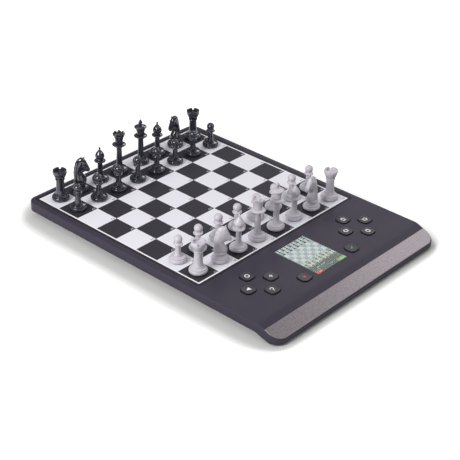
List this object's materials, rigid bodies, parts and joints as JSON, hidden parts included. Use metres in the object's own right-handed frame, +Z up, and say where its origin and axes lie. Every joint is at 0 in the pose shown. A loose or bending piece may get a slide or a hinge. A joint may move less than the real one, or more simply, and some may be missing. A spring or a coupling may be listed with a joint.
{
  "type": "electronic chess computer",
  "caption": "Tabletop chess computer: flat pressure board, key deck with colour display, sloping front with metal strip, battery base and a full chess set.",
  "frame": {"origin": "on the table under the middle of the housing's outline", "axes": "+Z up, -Y towards the player at the key deck, +X to that player's right"},
  "size_m": [0.29, 0.399, 0.0813],
  "materials": {
    "housing": "fine-textured dark grey, slightly violet",
    "base": "fine-textured dark grey",
    "strip": "satin, warm grey, bright bevelled edge",
    "board_print": "printed sheet: black margin, white line, white and dark grey squares",
    "film": "amber film",
    "window": "clear, glossy",
    "display": "display module with a lit colour panel",
    "circuit": "green solder mask",
    "silicone": "translucent white silicone",
    "key_plastic": "satin dark grey with white marks",
    "cell_jacket": "foil jacket",
    "contact": "nickel-plated spring steel",
    "speaker": "black paper cone in a steel basket",
    "socket": "black moulding",
    "foot_rubber": "black rubber",
    "screw_steel": "zinc-plated steel",
    "white_set": "satin-gloss white",
    "black_set": "glossy black"
  },
  "bodies": {
    "housing": {"top_shell": "housing", "bottom_shell": "base", "front_strip": "strip", "playing_surface": "board_print", "sensor_sheet": "film", "sensor_cable": "film", "display_window": "window", "display_module": "display", "main_board": "circuit", "key_domes": "silicone", "battery_cells": "cell_jacket", "battery_contacts": "contact", "loudspeaker": "speaker", "power_socket": "socket", "rubber_feet": "foot_rubber", "housing_screws": "screw_steel", "board_screws": "screw_steel"},
    "battery_door": {"battery_door": "base"},
    "key_power": {"key_power": "key_plastic"},
    "key_takeback": {"key_takeback": "key_plastic"},
    "key_back": {"key_back": "key_plastic"},
    "key_left": {"key_left": "key_plastic"},
    "key_plus": {"key_plus": "key_plastic"},
    "key_right": {"key_right": "key_plastic"},
    "key_hint": {"key_hint": "key_plastic"},
    "key_down": {"key_down": "key_plastic"},
    "key_no": {"key_no": "key_plastic"},
    "key_yes": {"key_yes": "key_plastic"},
    "white_rook_a": {"white_rook_a": "white_set"},
    "white_knight_b": {"white_knight_b": "white_set"},
    "white_bishop_c": {"white_bishop_c": "white_set"},
    "white_queen_d": {"white_queen_d": "white_set"},
    "white_king_e": {"white_king_e": "white_set"},
    "white_bishop_f": {"white_bishop_f": "white_set"},
    "white_knight_g": {"white_knight_g": "white_set"},
    "white_rook_h": {"white_rook_h": "white_set"},
    "black_rook_a": {"black_rook_a": "black_set"},
    "black_knight_b": {"black_knight_b": "black_set"},
    "black_bishop_c": {"black_bishop_c": "black_set"},
    "black_queen_d": {"black_queen_d": "black_set"},
    "black_king_e": {"black_king_e": "black_set"},
    "black_bishop_f": {"black_bishop_f": "black_set"},
    "black_knight_g": {"black_knight_g": "black_set"},
    "black_rook_h": {"black_rook_h": "black_set"},
    "white_pawn_a": {"white_pawn_a": "white_set"},
    "white_pawn_b": {"white_pawn_b": "white_set"},
    "white_pawn_c": {"white_pawn_c": "white_set"},
    "white_pawn_d": {"white_pawn_d": "white_set"},
    "white_pawn_e": {"white_pawn_e": "white_set"},
    "white_pawn_f": {"white_pawn_f": "white_set"},
    "white_pawn_g": {"white_pawn_g": "white_set"},
    "white_pawn_h": {"white_pawn_h": "white_set"},
    "black_pawn_a": {"black_pawn_a": "black_set"},
    "black_pawn_b": {"black_pawn_b": "black_set"},
    "black_pawn_c": {"black_pawn_c": "black_set"},
    "black_pawn_d": {"black_pawn_d": "black_set"},
    "black_pawn_e": {"black_pawn_e": "black_set"},
    "black_pawn_f": {"black_pawn_f": "black_set"},
    "black_pawn_g": {"black_pawn_g": "black_set"},
    "black_pawn_h": {"black_pawn_h": "black_set"}
  },
  "joints": [
    {"name": "battery_door_hinge", "type": "hinge", "parent": "housing", "child": "battery_door", "pos_m": [0, 0.0799, 0.0029], "axis": [1, 0, 0], "range_deg": [0, 95]},
    {"name": "key_power_press", "type": "slide", "parent": "housing", "child": "key_power", "axis": [0, 0, -1], "range_m": [0, 0.0008], "stiffness_N_per_m": 500, "springref_m": -0.0004},
    {"name": "key_takeback_press", "type": "slide", "parent": "housing", "child": "key_takeback", "axis": [0, 0, -1], "range_m": [0, 0.0008], "stiffness_N_per_m": 500, "springref_m": -0.0004},
    {"name": "key_back_press", "type": "slide", "parent": "housing", "child": "key_back", "axis": [0, 0, -1], "range_m": [0, 0.0008], "stiffness_N_per_m": 500, "springref_m": -0.0004},
    {"name": "key_left_press", "type": "slide", "parent": "housing", "child": "key_left", "axis": [0, 0, -1], "range_m": [0, 0.0008], "stiffness_N_per_m": 500, "springref_m": -0.0004},
    {"name": "key_plus_press", "type": "slide", "parent": "housing", "child": "key_plus", "axis": [0, 0, -1], "range_m": [0, 0.0008], "stiffness_N_per_m": 500, "springref_m": -0.0004},
    {"name": "key_right_press", "type": "slide", "parent": "housing", "child": "key_right", "axis": [0, 0, -1], "range_m": [0, 0.0008], "stiffness_N_per_m": 500, "springref_m": -0.0004},
    {"name": "key_hint_press", "type": "slide", "parent": "housing", "child": "key_hint", "axis": [0, 0, -1], "range_m": [0, 0.0008], "stiffness_N_per_m": 500, "springref_m": -0.0004},
    {"name": "key_down_press", "type": "slide", "parent": "housing", "child": "key_down", "axis": [0, 0, -1], "range_m": [0, 0.0008], "stiffness_N_per_m": 500, "springref_m": -0.0004},
    {"name": "key_no_press", "type": "slide", "parent": "housing", "child": "key_no", "axis": [0, 0, -1], "range_m": [0, 0.0008], "stiffness_N_per_m": 500, "springref_m": -0.0004},
    {"name": "key_yes_press", "type": "slide", "parent": "housing", "child": "key_yes", "axis": [0, 0, -1], "range_m": [0, 0.0008], "stiffness_N_per_m": 500, "springref_m": -0.0004},
    {"name": "white_rook_a_lift", "type": "slide", "parent": "housing", "child": "white_rook_a", "axis": [0, 0, 1], "range_m": [0, 0.08]},
    {"name": "white_knight_b_lift", "type": "slide", "parent": "housing", "child": "white_knight_b", "axis": [0, 0, 1], "range_m": [0, 0.08]},
    {"name": "white_bishop_c_lift", "type": "slide", "parent": "housing", "child": "white_bishop_c", "axis": [0, 0, 1], "range_m": [0, 0.08]},
    {"name": "white_queen_d_lift", "type": "slide", "parent": "housing", "child": "white_queen_d", "axis": [0, 0, 1], "range_m": [0, 0.08]},
    {"name": "white_king_e_lift", "type": "slide", "parent": "housing", "child": "white_king_e", "axis": [0, 0, 1], "range_m": [0, 0.08]},
    {"name": "white_bishop_f_lift", "type": "slide", "parent": "housing", "child": "white_bishop_f", "axis": [0, 0, 1], "range_m": [0, 0.08]},
    {"name": "white_knight_g_lift", "type": "slide", "parent": "housing", "child": "white_knight_g", "axis": [0, 0, 1], "range_m": [0, 0.08]},
    {"name": "white_rook_h_lift", "type": "slide", "parent": "housing", "child": "white_rook_h", "axis": [0, 0, 1], "range_m": [0, 0.08]},
    {"name": "black_rook_a_lift", "type": "slide", "parent": "housing", "child": "black_rook_a", "axis": [0, 0, 1], "range_m": [0, 0.08]},
    {"name": "black_knight_b_lift", "type": "slide", "parent": "housing", "child": "black_knight_b", "axis": [0, 0, 1], "range_m": [0, 0.08]},
    {"name": "black_bishop_c_lift", "type": "slide", "parent": "housing", "child": "black_bishop_c", "axis": [0, 0, 1], "range_m": [0, 0.08]},
    {"name": "black_queen_d_lift", "type": "slide", "parent": "housing", "child": "black_queen_d", "axis": [0, 0, 1], "range_m": [0, 0.08]},
    {"name": "black_king_e_lift", "type": "slide", "parent": "housing", "child": "black_king_e", "axis": [0, 0, 1], "range_m": [0, 0.08]},
    {"name": "black_bishop_f_lift", "type": "slide", "parent": "housing", "child": "black_bishop_f", "axis": [0, 0, 1], "range_m": [0, 0.08]},
    {"name": "black_knight_g_lift", "type": "slide", "parent": "housing", "child": "black_knight_g", "axis": [0, 0, 1], "range_m": [0, 0.08]},
    {"name": "black_rook_h_lift", "type": "slide", "parent": "housing", "child": "black_rook_h", "axis": [0, 0, 1], "range_m": [0, 0.08]},
    {"name": "white_pawn_a_lift", "type": "slide", "parent": "housing", "child": "white_pawn_a", "axis": [0, 0, 1], "range_m": [0, 0.08]},
    {"name": "white_pawn_b_lift", "type": "slide", "parent": "housing", "child": "white_pawn_b", "axis": [0, 0, 1], "range_m": [0, 0.08]},
    {"name": "white_pawn_c_lift", "type": "slide", "parent": "housing", "child": "white_pawn_c", "axis": [0, 0, 1], "range_m": [0, 0.08]},
    {"name": "white_pawn_d_lift", "type": "slide", "parent": "housing", "child": "white_pawn_d", "axis": [0, 0, 1], "range_m": [0, 0.08]},
    {"name": "white_pawn_e_lift", "type": "slide", "parent": "housing", "child": "white_pawn_e", "axis": [0, 0, 1], "range_m": [0, 0.08]},
    {"name": "white_pawn_f_lift", "type": "slide", "parent": "housing", "child": "white_pawn_f", "axis": [0, 0, 1], "range_m": [0, 0.08]},
    {"name": "white_pawn_g_lift", "type": "slide", "parent": "housing", "child": "white_pawn_g", "axis": [0, 0, 1], "range_m": [0, 0.08]},
    {"name": "white_pawn_h_lift", "type": "slide", "parent": "housing", "child": "white_pawn_h", "axis": [0, 0, 1], "range_m": [0, 0.08]},
    {"name": "black_pawn_a_lift", "type": "slide", "parent": "housing", "child": "black_pawn_a", "axis": [0, 0, 1], "range_m": [0, 0.08]},
    {"name": "black_pawn_b_lift", "type": "slide", "parent": "housing", "child": "black_pawn_b", "axis": [0, 0, 1], "range_m": [0, 0.08]},
    {"name": "black_pawn_c_lift", "type": "slide", "parent": "housing", "child": "black_pawn_c", "axis": [0, 0, 1], "range_m": [0, 0.08]},
    {"name": "black_pawn_d_lift", "type": "slide", "parent": "housing", "child": "black_pawn_d", "axis": [0, 0, 1], "range_m": [0, 0.08]},
    {"name": "black_pawn_e_lift", "type": "slide", "parent": "housing", "child": "black_pawn_e", "axis": [0, 0, 1], "range_m": [0, 0.08]},
    {"name": "black_pawn_f_lift", "type": "slide", "parent": "housing", "child": "black_pawn_f", "axis": [0, 0, 1], "range_m": [0, 0.08]},
    {"name": "black_pawn_g_lift", "type": "slide", "parent": "housing", "child": "black_pawn_g", "axis": [0, 0, 1], "range_m": [0, 0.08]},
    {"name": "black_pawn_h_lift", "type": "slide", "parent": "housing", "child": "black_pawn_h", "axis": [0, 0, 1], "range_m": [0, 0.08]}
  ]
}
